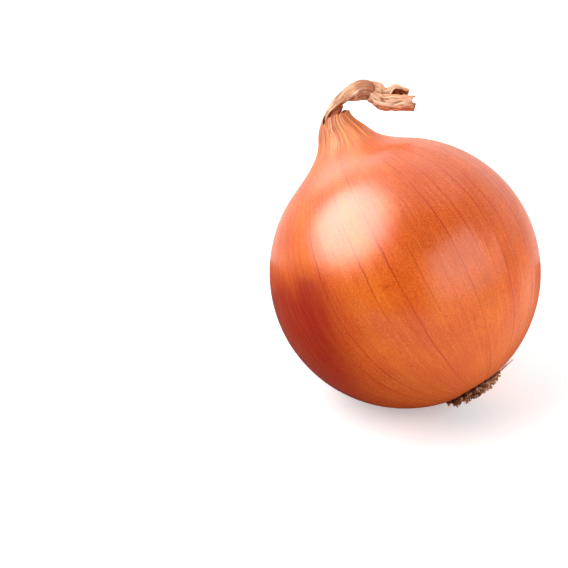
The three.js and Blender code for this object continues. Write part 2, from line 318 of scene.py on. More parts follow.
all_grain = [np.repeat(grain[:1], len(dish), axis=0), grain, np.repeat(grain[-1:], mouth_rows + 1, axis=0)]
all_grain = np.concatenate(all_grain).reshape(-1, 3)
put_attribute(bulb_skin, "grain", np.concatenate([all_grain[:1], all_grain, all_grain[-1:]]))
vein_along = vein_at * (vein_colour + layered(grain, vein_fading))
put_attribute(bulb_skin, "vein", over_all_rows(vein_along, 0.0, 0.0))
put_attribute(bulb_skin, "neck", over_all_rows(near_neck, 0.0, 1.0))
put_attribute(bulb_skin, "rootward", over_all_rows(smooth(polar, *root_blush), 1.0, 0.0))
put_attribute(bulb_skin, "inside", over_all_rows(0 * polar, 1.0, 1.0))


def paint(hex_colour):
    # A colour as it is seen, to the linear values that a shader takes
    parts = [int(hex_colour[i:i + 2], 16) / 255 for i in (0, 2, 4)]
    linear = [p / 12.92 if p <= 0.04045 else ((p + 0.055) / 1.055) ** 2.4 for p in parts]
    return (*linear, 1)


class Wire:
    """A node's socket: arithmetic on it adds Math nodes, and add() adds any other node."""

    def __init__(self, tree, socket=None):
        self.tree = tree
        self.socket = socket

    def add(self, kind, settings=None, inputs=None, output=0):
        made = self.tree.nodes.new(kind)
        for name, value in (settings or {}).items():
            setattr(made, name, value)
        for name, value in (inputs or {}).items():
            if isinstance(value, Wire):
                self.tree.links.new(value.socket, made.inputs[name])
            else:
                made.inputs[name].default_value = value
        return Wire(self.tree, made.outputs[output] if len(made.outputs) else None)

    def calculate(self, operation, first, second):
        return self.add("ShaderNodeMath", {"operation": operation}, {0: first, 1: second})

    def __add__(self, other):
        return self.calculate("ADD", self, other)

    def __radd__(self, other):
        return self.calculate("ADD", other, self)

    def __sub__(self, other):
        return self.calculate("SUBTRACT", self, other)

    def __rsub__(self, other):
        return self.calculate("SUBTRACT", other, self)

    def __mul__(self, other):
        return self.calculate("MULTIPLY", self, other)

    def __rmul__(self, other):
        return self.calculate("MULTIPLY", other, self)

    def __truediv__(self, other):
        return self.calculate("DIVIDE", self, other)

    def over(self, low, high):
        # 0 below low, 1 above high and a soft step between
        ends = {"Value": self, "From Min": low, "From Max": high}
        return self.add("ShaderNodeMapRange", {"interpolation_type": "SMOOTHSTEP"}, ends)

    def mix(self, first, second):
        # Between two colours, by this value; the colour sockets of a Mix node are 0, 6 and 7
        return self.add("ShaderNodeMix", {"data_type": "RGBA"}, {0: self, 6: first, 7: second}, 2)

    def attribute(self, name, output="Fac"):
        return self.add("ShaderNodeAttribute", {"attribute_name": name}, output=output)

    def vector(self, operation, other, output=0):
        return self.add("ShaderNodeVectorMath", {"operation": operation}, {0: self, 1: other}, output)

    def along(self, direction):
        return self.vector("DOT_PRODUCT", direction, 1)

    def scaled(self, amount):
        return self.add("ShaderNodeVectorMath", {"operation": "SCALE"}, {0: self, "Scale": amount})

    def even_noise(self, scale, detail, roughness):
        inputs = {"Vector": self, "Scale": scale, "Detail": detail, "Roughness": roughness}
        return self.add("ShaderNodeTexNoise", None, inputs)

    def drawn_noise(self, scales, detail, roughness):
        # Noise drawn out along a grain, by a scale for each axis
        return self.vector("MULTIPLY", scales).even_noise(1.0, detail, roughness)


def new_material(name):
    material = bpy.data.materials.new(name)
    material.use_nodes = True
    material.node_tree.nodes.clear()
    return material, Wire(material.node_tree)


def paint_over(colour, layers):
    # Each layer covers the colour below it by its share
    for share, hex_colour in layers:
        colour = share.mix(colour, paint(hex_colour))
    return colour


def finish_material(start, colour, gloss, height, depth, ior):
    # Gloss is the shader's roughness, and depth is how deep the height goes, in metres
    normal = start.add("ShaderNodeBump", None, {"Height": height, "Distance": depth, "Strength": 1.0})
    inputs = {"Base Color": colour, "Roughness": gloss, "Normal": normal, "IOR": ior}
    shader = start.add("ShaderNodeBsdfPrincipled", None, inputs)
    start.add("ShaderNodeOutputMaterial", None, {"Surface": shader})


papery_skin, start = new_material("papery_skin")
skin_lines = start.attribute("grain", "Vector")
place = start.add("ShaderNodeTexCoord", output="Object")
vein = start.attribute("vein")
neck = start.attribute("neck")
rootward = start.attribute("rootward")
inside = start.attribute("inside")
bands = skin_lines.drawn_noise((5.5, 5.5, 0.9), 3.0, 0.55)
streaks = skin_lines.drawn_noise((17, 17, 1.8), 3.0, 0.6)
fibres = skin_lines.drawn_noise((62, 62, 3.2), 2.0, 0.6)
hairlines = skin_lines.drawn_noise((150, 150, 8), 1.0, 0.5)
furrows = skin_lines.drawn_noise((24, 24, 0.9), 3.0, 0.75).over(0.5, 0.58)
fine_furrows = skin_lines.drawn_noise((50, 50, 1.5), 2.0, 0.7).over(0.52, 0.58)
cloud = place.even_noise(95.0, 3.0, 0.5)
mottle = place.even_noise(2600.0, 1.5, 0.6)
flecks = place.even_noise(420.0, 1.0, 0.4)

# Sides of the bulb, measured so that 1 is its radius
upper_side = place.along((9.4, -9.5, 21.1))
left_side = place.along((-24, -3.8, -6.5))
low_side = place.along((0, -12.5, -21.7))
# Painted shade: the lower left side of the skin is darkened to a deep red-brown, where it would lie in
# shadow
painted_shade_side = (left_side + 0.14 * cloud + 0.12 * bands).over(0.22, 0.6) * (low_side + 0.3 * cloud).over(-0.85, -0.5)
# Deeper red patches on the upper side: partly the skin's own patches, partly painted shade
deep_patches_and_shade = (upper_side + 0.7 * cloud + 0.25 * streaks).over(1.98, 2.26)
on_neck = neck.over(0.1, 0.6)
dry_tip = neck.over(0.86, 1.0) * streaks.over(0.4, 0.6)

tone = 0.4 * bands + 0.2 * streaks + 0.4 * cloud
skin_layers = [
    (painted_shade_side, "9C1400"),                                                 # painted shade: the lower left side darkened to deep red-brown
    (low_side.over(-0.3, 0.2) * 0.68, "A42200"),                      # painted shade, darker underneath
    (deep_patches_and_shade * 0.75, "B03802"),                                  # deeper patches on the upper side, partly the skin's own and partly painted shade
    (fibres.over(0.42, 0.66) * (0.18 - 0.1 * painted_shade_side), "EE8436"),        # pale fibres
    (hairlines.over(0.5, 0.75) * 0.24, "A83C08"),                     # dark hairlines
    (mottle.over(0.4, 0.62) * (0.2 - 0.15 * painted_shade_side), "F28E42"),         # pale cells
    ((1 - mottle.over(0.36, 0.54)) * (0.3 - 0.2 * painted_shade_side), "C04004"),   # dark cells between them
    (flecks.over(0.68, 0.78) * 0.3, "A03410"),                        # a few brown flecks
    (rootward * (1 - painted_shade_side) * 0.5, "E46814"),                          # lighter towards the roots
    (neck.over(0.05, 0.9) * (0.4 + 0.25 * streaks), "E88C26"),        # the golden neck
    (furrows * on_neck * 0.8, "B43800"),                              # between the neck's pleats
    (fine_furrows * on_neck * 0.85, "A83000"),                        # thin lines up the neck
    (fibres.over(0.48, 0.6) * neck.over(0.2, 0.7) * 0.3, "F4B47C"),   # pale fibres on the neck, partly painted sheen
    (vein.over(0.08, 0.65) * 0.8, "A42600"),                          # the veins
    (dry_tip * 0.5, "9A5C2C"),                                        # the dry rim
    (inside, "A2440C"),                                               # inside the mouth
]
skin_colour = tone.over(0.36, 0.64).mix(paint("D04C08"), paint("E66A12"))
skin_colour = paint_over(skin_colour, skin_layers)
skin_gloss = 0.16 + 0.1 * fibres + 0.08 * mottle + 0.22 * neck + 0.3 * inside - 0.06 * painted_shade_side
skin_height = 0.4 * fibres + 0.2 * streaks + 0.3 * hairlines + 0.12 * mottle + 0.1 * vein
skin_height = skin_height - neck * (0.9 * furrows + 0.9 * fine_furrows)
finish_material(start, skin_colour, skin_gloss, skin_height, depth=0.00006, ior=1.38)
bulb_skin.data.materials.append(papery_skin)
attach(bulb_skin, "root")
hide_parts("bulb")

# Dried tail. The dried tops of the outer scales, folded over to one side: a strap with a rolled tongue in
# its foot, then a crumpled lobe behind and a rolled lobe with a torn open end in front. It grew out of the
# neck as thin brittle leaf, and nothing holds it up but its own stiffness.
leaf_thickness = 0.00026
forward_step = 0.004
dent_scale = (330, 420, 1)
crease_scale = (480, 800, 1)
crease_share = 0.7
crease_sharpness = 2.6
fine_dent_scale = (1000, 1300, 1)
fine_dent_share = 0.25
rib_height = 0.00013
rib_scale = (130, 1300, 1)
rib_sharpness = 2.4
rib_base = 0.7
edge_fray = 0.07
edge_fray_scale = (900, 0, 0)
leaf_end = 0.985
leaf_end_fray = 0.015
roll_slant = 0.035
roll_slant_side = math.radians(-20)
end_shade_fray = 0.06
end_shade_fray_scale = (420, 620, 1)
crease_shade_from = 0.00003
crease_shade_to = 0.00012
crease_shade_share = 0.45
dry_end = (0.9, 1.0)


def through(values, share):
    # A smooth curve through rows of values, spaced evenly from 0 to 1
    last = len(values) - 1
    padded = np.concatenate([[2 * values[0] - values[1]], values, [2 * values[-1] - values[-2]]])
    at = np.clip(share, 0, 1) * last
    step = np.minimum(at.astype(int), last - 1)
    t = (at - step)[..., None]
    a, b, c, d = (padded[step + k] for k in range(4))
    return 0.5 * (2 * b + (c - a) * t + (2 * a - 5 * b + 4 * c - d) * t**2 + (3 * (b - c) - a + d) * t**3)


def gutter(stations, rows, columns, seed, crumple, end_at):
    # A leaf as a curved strip. Each station gives the middle, the side that the back faces, the radius and
    # how far the strip wraps round to the back and to the front, in degrees.
    flat = np.array([(*middle, *back, radius, *wrap) for middle, back, radius, wrap in stations])
    angle_share = np.linspace(0, 1, columns)[None, :]
    first_wrap = np.radians(flat[0, 7:9])
    rough_angle = -first_wrap[0] + angle_share * first_wrap.sum()
    share = np.linspace(0, 1, rows)[:, None] * end_at(rough_angle)
    values = through(flat, share)
    ahead = through(flat, np.minimum(share + forward_step, 1))[..., :3]
    behind = through(flat, np.maximum(share - forward_step, 0))[..., :3]
    forward = unit(ahead - behind)
    back = values[..., 3:6]
    back = unit(back - forward * (back * forward).sum(axis=-1, keepdims=True))
    side = np.cross(forward, back)
    wrap_back = np.radians(values[..., 7])
    wrap_front = np.radians(values[..., 8])
    reach = share * np.linalg.norm(np.diff(flat[:, :3], axis=0), axis=1).sum()
    ragged = 1 + edge_fray * noise_over(points_at(reach, 0, 0), edge_fray_scale, seed + 5)
    angle = (-wrap_back + angle_share * (wrap_back + wrap_front)) * ragged
    span = points_at(reach, angle * values[..., 6], 0)
    dents = noise_over(span, dent_scale, seed)
    creases = 1 - crease_sharpness * np.abs(noise_over(span, crease_scale, seed + 11))
    ribs = rib_sharpness * np.abs(noise_over(span, rib_scale, seed + 23)) - rib_base
    fine_dents = noise_over(span, fine_dent_scale, seed + 37)
    wave = crumple * (dents + crease_share * creases + fine_dent_share * fine_dents) + rib_height * ribs
    radius = values[..., 6] + wave
    out = np.cos(angle)[..., None] * back + np.sin(angle)[..., None] * side
    return values[..., :3] + out * radius[..., None], span, wave


def closed_sheet(name, middle, thickness):
    # A thin closed sheet: its two faces lie half the thickness to each side, with walls along the edges
    normal = unit(np.cross(np.gradient(middle, axis=0), np.gradient(middle, axis=1)))
    faces = []
    rows, columns = middle.shape[:2]
    under = rows * columns
    for i in range(rows - 1):
        for j in range(columns - 1):
            a = i * columns + j
            quad = (a, a + columns, a + columns + 1, a + 1)
            faces.append(quad)
            faces.append(tuple(k + under for k in reversed(quad)))
    rim = [i * columns for i in range(rows)]
    rim += [(rows - 1) * columns + j for j in range(1, columns)]
    rim += [i * columns + columns - 1 for i in range(rows - 2, -1, -1)]
    rim += list(range(columns - 2, 0, -1))
    for a, b in zip(rim, rim[1:] + rim[:1]):
        faces.append((b, a, a + under, b + under))
    points = np.concatenate([middle + normal * thickness / 2, middle - normal * thickness / 2])
    return new_piece(name, points.reshape(-1, 3), faces)


def both_sides(values):
    flat = values.reshape(-1, values.shape[-1]) if values.ndim == 3 else values.ravel()
    return np.concatenate([flat, flat])


dried_leaf, start = new_material("dried_leaf")
strand = start.attribute("strand", "Vector")
place = start.add("ShaderNodeTexCoord", output="Object")
crease_shade = start.attribute("crease_shade")
inner = start.attribute("inner")
base = start.attribute("base")
edge = start.attribute("edge")
end_and_fold_shade = start.attribute("end_and_fold_shade")
leaf_lines = strand.drawn_noise((90, 1700, 1), 3.0, 0.65)
broad_lines = strand.drawn_noise((60, 420, 1), 2.0, 0.5)
hairs = strand.drawn_noise((300, 5200, 1), 1.0, 0.5)
stain = place.even_noise(210.0, 3.0, 0.6)
leaf_layers = [
    (leaf_lines.over(0.44, 0.58) * 0.65, "A4561E"),                   # brown lines along the leaf
    (hairs.over(0.5, 0.64) * 0.45, "F2D8C2"),                         # pale hairs
    (stain.over(0.52, 0.6) * 0.45, "A65C28"),                         # stains
    (crease_shade * 0.75, "74320C"),                                        # painted shade, dark in the creases
    (edge * (0.3 + 0.7 * stain), "944C20"),                           # the torn end
    (inner * 0.6, "AC5A24"),                                          # the browner inner face
    (end_and_fold_shade * (0.45 + 0.5 * leaf_lines.over(0.35, 0.65)), "843C10"),   # the brown end of the strap, partly painted shade where it folds under
    (base * (0.8 + 0.2 * leaf_lines), "CA560A"),                      # the foot, still skin brown; on the tongue also painted shade
    (base * leaf_lines.over(0.42, 0.56) * 0.65, "6A2404"),            # dark lines on the foot
]
leaf_colour = paint_over(broad_lines.over(0.35, 0.65).mix(paint("C88250"), paint("F4CAA6")), leaf_layers)
leaf_gloss = 0.55 + 0.25 * leaf_lines
leaf_height = leaf_lines + 0.5 * hairs + 0.4 * broad_lines
finish_material(start, leaf_colour, leaf_gloss, leaf_height, depth=0.00016, ior=1.3)

strap = [
    ((0.0029, 0, 0.0449), (-0.8, 0.6, 0), 0.0032, (85, 78)),
    ((0.0031, 0, 0.0482), (-0.8, 0.6, 0), 0.0033, (85, 80)),
    ((0.0043, 0, 0.0506), (-0.8, 0.5, 0.2), 0.0029, (90, 85)),
    ((0.0058, 0, 0.0522), (-0.75, 0.3, 0.5), 0.00245, (95, 100)),
    ((0.0085, 0, 0.05345), (-0.35, 0.15, 1), 0.0023, (100, 118)),
    ((0.0123, -0.0002, 0.0534), (0.05, 0, 1), 0.0032, (100, 136)),
    ((0.0150, 0, 0.0526), (0.3, 0, 1), 0.0034, (100, 138)),
    ((0.0170, 0.0008, 0.0513), (0.55, 0, 1), 0.0027, (100, 134)),
]
tongue = [
    ((0.0027, 0, 0.0447), (-0.8, 0.6, 0), 0.0026, (168, 168)),
    ((0.0030, 0, 0.0480), (-0.8, 0.6, 0), 0.0027, (168, 168)),
    ((0.0036, 0, 0.0502), (-0.8, 0.5, 0.2), 0.0022, (168, 168)),
    ((0.0049, 0, 0.0518), (-0.7, 0.3, 0.5), 0.0017, (168, 168)),
    ((0.0070, 0, 0.0530), (-0.35, 0.15, 1), 0.0011, (168, 168)),
]
lobe = [
    ((0.0142, 0.0005, 0.0521), (0.2, 0, 1), 0.0026, (110, 100)),
    ((0.0166, 0.0008, 0.0517), (0.3, 0, 1), 0.0025, (110, 112)),
    ((0.0184, 0.0012, 0.0508), (0.5, 0, 1), 0.0024, (110, 120)),
    ((0.0198, 0.0014, 0.0494), (0.3, 0, 1), 0.0012, (120, 130)),
    ((0.0210, 0.0015, 0.0487), (0.3, 0, 1), 0.0017, (125, 110)),
    ((0.0224, 0.0017, 0.0481), (0.4, -0.1, 1), 0.0024, (130, 55)),
    ((0.0242, 0.0018, 0.0468), (0.4, -0.1, 1), 0.0019, (130, 40)),
    ((0.0260, 0.0018, 0.0454), (0.5, -0.1, 1), 0.0013, (130, 45)),
]
roll = [
    ((0.0158, -0.0010, 0.0512), (-0.6, -0.6, -0.4), 0.0010, (140, 140)),
    ((0.0169, -0.0018, 0.0491), (-0.5, -0.8, -0.45), 0.0018, (140, 140)),
    ((0.0184, -0.0022, 0.0472), (-0.4, -0.9, -0.6), 0.00225, (146, 146)),
    ((0.0205, -0.0024, 0.0457), (-0.3, -1, -0.6), 0.00225, (150, 150)),
    ((0.0238, -0.0024, 0.0439), (-0.3, -1, -0.6), 0.0021, (155, 150)),
    ((0.0272, -0.0022, 0.0421), (-0.3, -1, -0.6), 0.0022, (155, 150)),
]


def even_end(angle):
    return leaf_end + leaf_end_fray * noise_over(points_at(angle, 0, 0), (4, 1, 1), 2.2)


def slanted_end(angle):
    # The front of the roll is torn off shorter than its top and back
    return even_end(angle) - roll_slant * (1 + np.cos(angle - roll_slant_side))


# Each leaf with its stations, rows, columns, seed, height of crumple and end. The shares of its length
# come last: where the brown foot ends, and where the brown end, partly painted shade of its fold, begins.
all_foot_in_shade = (1, 2)
no_foot = (-2, -1)
no_end_shade = (2, 3)
leaves = [
    ("tail_strap", strap, 110, 84, 1.5, 0.00013, even_end, (0.0, 0.3), (0.74, 0.79)),
    # The tongue is brown along its whole length: skin brown, and painted shade of the hollow it lies in
    ("tail_tongue", tongue, 80, 90, 4.1, 0.00022, even_end, all_foot_in_shade, no_end_shade),
    ("tail_lobe", lobe, 130, 90, 8.4, 0.00062, even_end, no_foot, no_end_shade),
    ("tail_roll", roll, 110, 100, 15.2, 0.00036, slanted_end, no_foot, no_end_shade),
]
for name, stations, rows, columns, seed, crumple, end_at, brown_foot, brown_end_and_fold_shade in leaves:
    middle, span, wave = gutter(stations, rows, columns, seed, crumple, end_at)
    leaf = closed_sheet(name, stand_up(middle), leaf_thickness)
    length_share = span[..., 0] / span[..., 0].max()
    ragged_share = length_share + end_shade_fray * noise_over(span, end_shade_fray_scale, seed + 51)
    put_attribute(leaf, "strand", both_sides(span))
    # Painted shade in the creases, where the crumple pushes the leaf in
    put_attribute(leaf, "crease_shade", both_sides(smooth(-wave, crease_shade_from, crease_shade_to + crease_shade_share * crumple)))
    put_attribute(leaf, "edge", both_sides(smooth(length_share, *dry_end)))
    # The brown end of the strap, partly painted shade of the fold where it turns under
    put_attribute(leaf, "end_and_fold_shade", both_sides(smooth(ragged_share, *brown_end_and_fold_shade)))
    put_attribute(leaf, "base", both_sides(1 - smooth(length_share, *brown_foot)))
    put_attribute(leaf, "inner", np.repeat([1.0, 0.0], rows * columns))
    leaf.data.materials.append(dried_leaf)
    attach(leaf, "root")
    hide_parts("dry_tail")

# Root plate. The corky button at the root end that the roots grow from. It grew with the bulb, sits in the
# skin's shallow dish and has dried to a lumpy brown cork. Its crevice beside the skin has painted shade.
plate_radius = 0.0082
plate_top = -0.0407
plate_shoulder = -0.0383
plate_seat = 0.0003
plate_base = dish_floor - plate_seat
plate_rows = 26
plate_columns = 72
first_ring = 0.04
dome_share = 0.74
dome_spread = 1.35
rooted_share = 0.8
plate_lumps = [(0.0004, 800, 3.0), (0.0002, 2000, 6.0)]

plate_share = np.linspace(first_ring, 1, plate_rows)[:, None]
plate_around = np.linspace(0, 2 * math.pi, plate_columns, endpoint=False)
dome_reach = np.minimum(plate_share * dome_spread, 1) * plate_radius
dome_height = plate_top + (plate_shoulder - plate_top) * (plate_share / dome_share) ** 3
side_share = (plate_share - dome_share) / (1 - dome_share)
side_height = plate_shoulder + side_share * (plate_base - plate_shoulder)
plate_height = np.where(plate_share < dome_share, dome_height, side_height)
plate = points_at(dome_reach * np.cos(plate_around), dome_reach * np.sin(plate_around), plate_height)
rooted = plate_share < rooted_share
plate[..., 2] -= layered(plate, plate_lumps) * rooted
plate = turn_to_root(plate, root_turn)[::-1]
plate_poles = stand_up(turn_to_root(np.array([[0, 0, plate_base], [0, 0, plate_top]]), root_turn))
corky_plate = closed_rings("corky_plate", stand_up(plate), *plate_poles)
on_dome = np.repeat(rooted[::-1, 0], plate_columns)
put_attribute(corky_plate, "dome", np.concatenate([[0], on_dome, [1]]))

dried_root, start = new_material("dried_root")
place = start.add("ShaderNodeTexCoord", output="Object")
shade = start.attribute("shade")
speckle = place.even_noise(2600.0, 2.0, 0.6)
clump = place.even_noise(520.0, 2.0, 0.5)
pale_side = place.add("ShaderNodeSeparateXYZ", None, {"Vector": place}, "X").over(0.0195, 0.026)
root_axis = stand_up(turn_to_root(np.array([0, 0, -1.0]), root_turn)) - stand_up(np.zeros(3))
from_middle = place.along(tuple(root_axis)) - root_axis[2] * centre_height
root_layers = [
    (speckle.over(0.5, 0.75) * 0.45, "52240A"),                       # dark cork
    (shade.over(0.8, 0.95) * (0.3 + 0.6 * pale_side), "D2B09A"),      # pale roots, paler towards the right side
    (1 - from_middle.over(0.0389, 0.0402), "381405"),                 # painted shade in the crevice beside the skin
]
root_tone = 0.55 * shade + 0.3 * clump + 0.25 * pale_side
root_colour = paint_over(root_tone.over(0.25, 0.8).mix(paint("7C3610"), paint("D0966A")), root_layers)
finish_material(start, root_colour, 0.75 + 0.15 * speckle, speckle, depth=0.0001, ior=1.4)
corky_plate.data.materials.append(dried_root)
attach(corky_plate, "root")
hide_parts("root_plate")

# Roots. Dried stubs and finer rootlets, matted over the plate. They grew out of it, and were pressed flat in
# the ground and clipped short.
rooted_area = 0.00026
root_points = 6
root_taper = 0.55
root_stray = 0.9
root_outward = 0.45
root_sizes = (0.6, 1.3)
bend_scale = 700.0
bend_size = 0.0022
shade_seed = 5
mat_radius = 0.0091
mat_bottom = -0.0424
mat_spill = 0.2
mat_rise = 0.0012
mat_press = 0.88


def flatten(mesh):
    # What reaches past the mat's edge or its face is pushed back
    points = np.empty(3 * len(mesh.vertices), np.float32)
    mesh.vertices.foreach_get("co", points)
    points = (points.reshape(-1, 3) - (0, 0, centre_height)) @ lean
    points = turn_to_root(points, -root_turn)
    reach = np.linalg.norm(points[:, :2], axis=1)
    kept = np.minimum(reach, mat_radius + mat_spill * np.maximum(reach - mat_radius, 0))
    points[:, :2] *= (kept / np.maximum(reach, 0.0001))[:, None]
    mat_face = mat_bottom + mat_rise * (kept / mat_radius) ** 4
    points[:, 2] += mat_press * np.maximum(mat_face - points[:, 2], 0)
    points = stand_up(turn_to_root(points, root_turn))
    mesh.vertices.foreach_set("co", points.astype(np.float32).ravel())


def grow_roots(name, count, length, thickness, splay, seed, sides):
    amounts = {"Count": count, "Length": length, "Thickness": thickness, "Splay": splay, "Seed": seed}
    tree = bpy.data.node_groups.new(name, "GeometryNodeTree")
    tree.interface.new_socket("Geometry", in_out="INPUT", socket_type="NodeSocketGeometry")
    for amount_name, amount in amounts.items():
        kind = "NodeSocketInt" if isinstance(amount, int) else "NodeSocketFloat"
        tree.interface.new_socket(amount_name, in_out="INPUT", socket_type=kind)
    tree.interface.new_socket("Geometry", in_out="OUTPUT", socket_type="NodeSocketGeometry")
    add = Wire(tree).add
    given = {key: add("NodeGroupInput", output=key) for key in ["Geometry", *amounts]}

    # Points all over the dome, with one tapered stub made for all of them
    dome = add("GeometryNodeInputNamedAttribute", {"data_type": "FLOAT"}, {"Name": "dome"})
    density = given["Count"] / rooted_area * dome
    inputs = {"Mesh": given["Geometry"], "Density": density, "Seed": given["Seed"]}
    spread = add("GeometryNodeDistributePointsOnFaces", None, inputs)
    end = add("ShaderNodeCombineXYZ", None, {"Z": given["Length"]})
    line = add("GeometryNodeCurvePrimitiveLine", None, {"End": end})
    line = add("GeometryNodeResampleCurve", None, {"Curve": line, "Count": root_points})
    share = add("GeometryNodeSplineParameter")
    taper = add("ShaderNodeMapRange", None, {"Value": share, "To Min": 1.0, "To Max": root_taper})
    inputs = {"Resolution": sides, "Radius": 1.0}
    section = add("GeometryNodeCurvePrimitiveCircle", {"mode": "RADIUS"}, inputs)
    thick = taper * given["Thickness"]
    inputs = {"Curve": line, "Profile Curve": section, "Scale": thick, "Fill Caps": True}
    stub = add("GeometryNodeCurveToMesh", None, inputs)

    # Each stub splays out from the middle of the dome and strays to a side of its own
    outward = add("GeometryNodeInputPosition").vector("SUBTRACT", tuple(plate_poles[1]))
    outward = outward.vector("MULTIPLY", (1 / plate_radius,) * 3).scaled(given["Splay"])
    ends = {"Min": (-1, -1, -1), "Max": (1, 1, 1), "Seed": given["Seed"]}
    stray = add("FunctionNodeRandomValue", {"data_type": "FLOAT_VECTOR"}, ends).scaled(root_stray)
    aim = outward.vector("ADD", stray).vector("ADD", tuple(root_outward * root_axis))
    turned = add("FunctionNodeAlignRotationToVector", {"axis": "Z"}, {"Vector": aim})

    # The number sockets of a Random Value node are inputs 2 and 3 and output 1
    ends = {2: root_sizes[0], 3: root_sizes[1], "Seed": given["Seed"]}
    size = add("FunctionNodeRandomValue", {"data_type": "FLOAT"}, ends, 1)
    inputs = {"Points": spread, "Instance": stub, "Rotation": turned, "Scale": size}
    roots = add("GeometryNodeInstanceOnPoints", None, inputs)
    ends = {2: 0.0, 3: 1.0, "Seed": shade_seed}
    shade = add("FunctionNodeRandomValue", {"data_type": "FLOAT"}, ends, 1)
    settings = {"data_type": "FLOAT", "domain": "INSTANCE"}
    inputs = {"Geometry": roots, "Name": "shade", "Value": shade}
    roots = add("GeometryNodeStoreNamedAttribute", settings, inputs)
    roots = add("GeometryNodeRealizeInstances", None, {"Geometry": roots})
    bend = add("ShaderNodeTexNoise", None, {"Scale": bend_scale, "Detail": 2.0}, 1)
    bend = bend.vector("SUBTRACT", (0.5, 0.5, 0.5)).scaled(bend_size)
    roots = add("GeometryNodeSetPosition", None, {"Geometry": roots, "Offset": bend})
    roots = add("GeometryNodeSetShadeSmooth", None, {"Geometry": roots})
    roots = add("GeometryNodeSetMaterial", None, {"Geometry": roots, "Material": dried_root})
    add("NodeGroupOutput", None, {"Geometry": roots})

    grower = bpy.data.objects.new(name + "_grower", corky_plate.data.copy())
    bpy.context.scene.collection.objects.link(grower)
    modifier = grower.modifiers.new("growth", "NODES")
    modifier.node_group = tree
    for item in tree.interface.items_tree:
        if item.in_out == "INPUT" and item.name in amounts:
            modifier[item.identifier] = amounts[item.name]
    bpy.context.view_layer.update()
    finished = grower.evaluated_get(bpy.context.evaluated_depsgraph_get())
    mesh = bpy.data.meshes.new_from_object(finished)
    bpy.data.objects.remove(grower)
    flatten(mesh)
    piece = bpy.data.objects.new(name, mesh)
    bpy.context.scene.collection.objects.link(piece)
    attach(piece, "root")
    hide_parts("root_plate")


grow_roots("root_stubs", count=380, length=0.0021, thickness=0.00042, splay=1.3, seed=3, sides=6)
grow_roots("rootlets", count=260, length=0.0020, thickness=0.00011, splay=1.6, seed=8, sides=4)

# Skin shred. One pale scrap of the outermost skin that has torn loose beside the root plate and lifts a
# little off the bulb at its far end. It is as thin as the skin and frays along its edges.
shred_from = math.radians(13.6)
shred_to = math.radians(20.5)
shred_half_width = math.radians(14)
shred_narrowing = math.radians(10)
shred_lift = 0.00045
shred_curl = 0.00045
shred_thickness = 0.00018
shred_rows = 30
shred_columns = 26
side_fray = [(0.25, (6, 0.6, 1), 2.6)]
end_fray = [(0.1, (1, 3, 1), 1.4)]
shred_waves = [(0.00012, (3, 4, 1), 5.1)]

shred_share = np.linspace(0, 1, shred_rows)[:, None]
shred_side = np.linspace(-1, 1, shred_columns)
shred_span = points_at(shred_share, shred_side, 0)
shred_length = (shred_to - shred_from) * shred_share * (1 + layered(shred_span, end_fray))
shred_polar = math.pi - (shred_from + shred_length)
shred_around = shred_side * (shred_half_width - shred_narrowing * shred_share)
shred_around = shred_around * (1 + layered(shred_span, side_fray))
shred_distance = bulb_radius + shred_lift + shred_curl * shred_share**2 + layered(shred_span, shred_waves)
shred_reach = shred_distance * np.sin(shred_polar)
shred_height = shred_distance * np.cos(shred_polar)
shred = points_at(shred_reach * np.cos(shred_around), shred_reach * np.sin(shred_around), shred_height)
shred = turn_to_root(shred, root_turn * smooth(shred_polar, math.pi / 2, rim_polar))
loose_shred = closed_sheet("loose_shred", stand_up(shred), shred_thickness)

loose_skin, start = new_material("loose_skin")
place = start.add("ShaderNodeTexCoord", output="Object")
veining = place.drawn_noise((900, 900, 2600), 2.0, 0.6)
shred_colour = veining.over(0.35, 0.65).mix(paint("D8A482"), paint("F2D8C6"))
finish_material(start, shred_colour, 0.4 + 0.2 * veining, veining, depth=0.00005, ior=1.45)
loose_shred.data.materials.append(loose_skin)
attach(loose_shred, "root")
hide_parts("skin_shred")

# Studio. A pale floor in a white room, with a large round soft light high on the left and a wide one low on
# the right. The floor and the room are plain white to the camera and dimmer to the onion. The shine lights
# are seen only in gloss: they make the first highlight brightest at its middle and fade the others.
floor_size = 4.4
floor_bounce = 0.69
floor_paper = 0.8
floor_glow = 0.35


def grey(value):
    return (value, value, value, 1)


def flat_sheet(name, left, right, front, back, height):
    corners = [(left, front, height), (right, front, height), (right, back, height), (left, back, height)]
    return new_piece(name, corners, [(0, 1, 2, 3)])


half = floor_size / 2
floor = flat_sheet("studio_floor", left=-half, right=half, front=-half, back=half, height=0)
floor_white, start = new_material("floor_white")
bounce = start.add("ShaderNodeBsdfDiffuse", None, {"Color": grey(floor_bounce)})
paper_finish = {
    "Base Color": grey(floor_paper),
    "Roughness": 0.8,
    "Emission Color": grey(1),
    "Emission Strength": floor_glow,
}
paper = start.add("ShaderNodeBsdfPrincipled", None, paper_finish)
to_camera = start.add("ShaderNodeLightPath", output="Is Camera Ray")
shader = start.add("ShaderNodeMixShader", None, {0: to_camera, 1: bounce, 2: paper})
start.add("ShaderNodeOutputMaterial", None, {"Surface": shader})
floor.data.materials.append(floor_white)

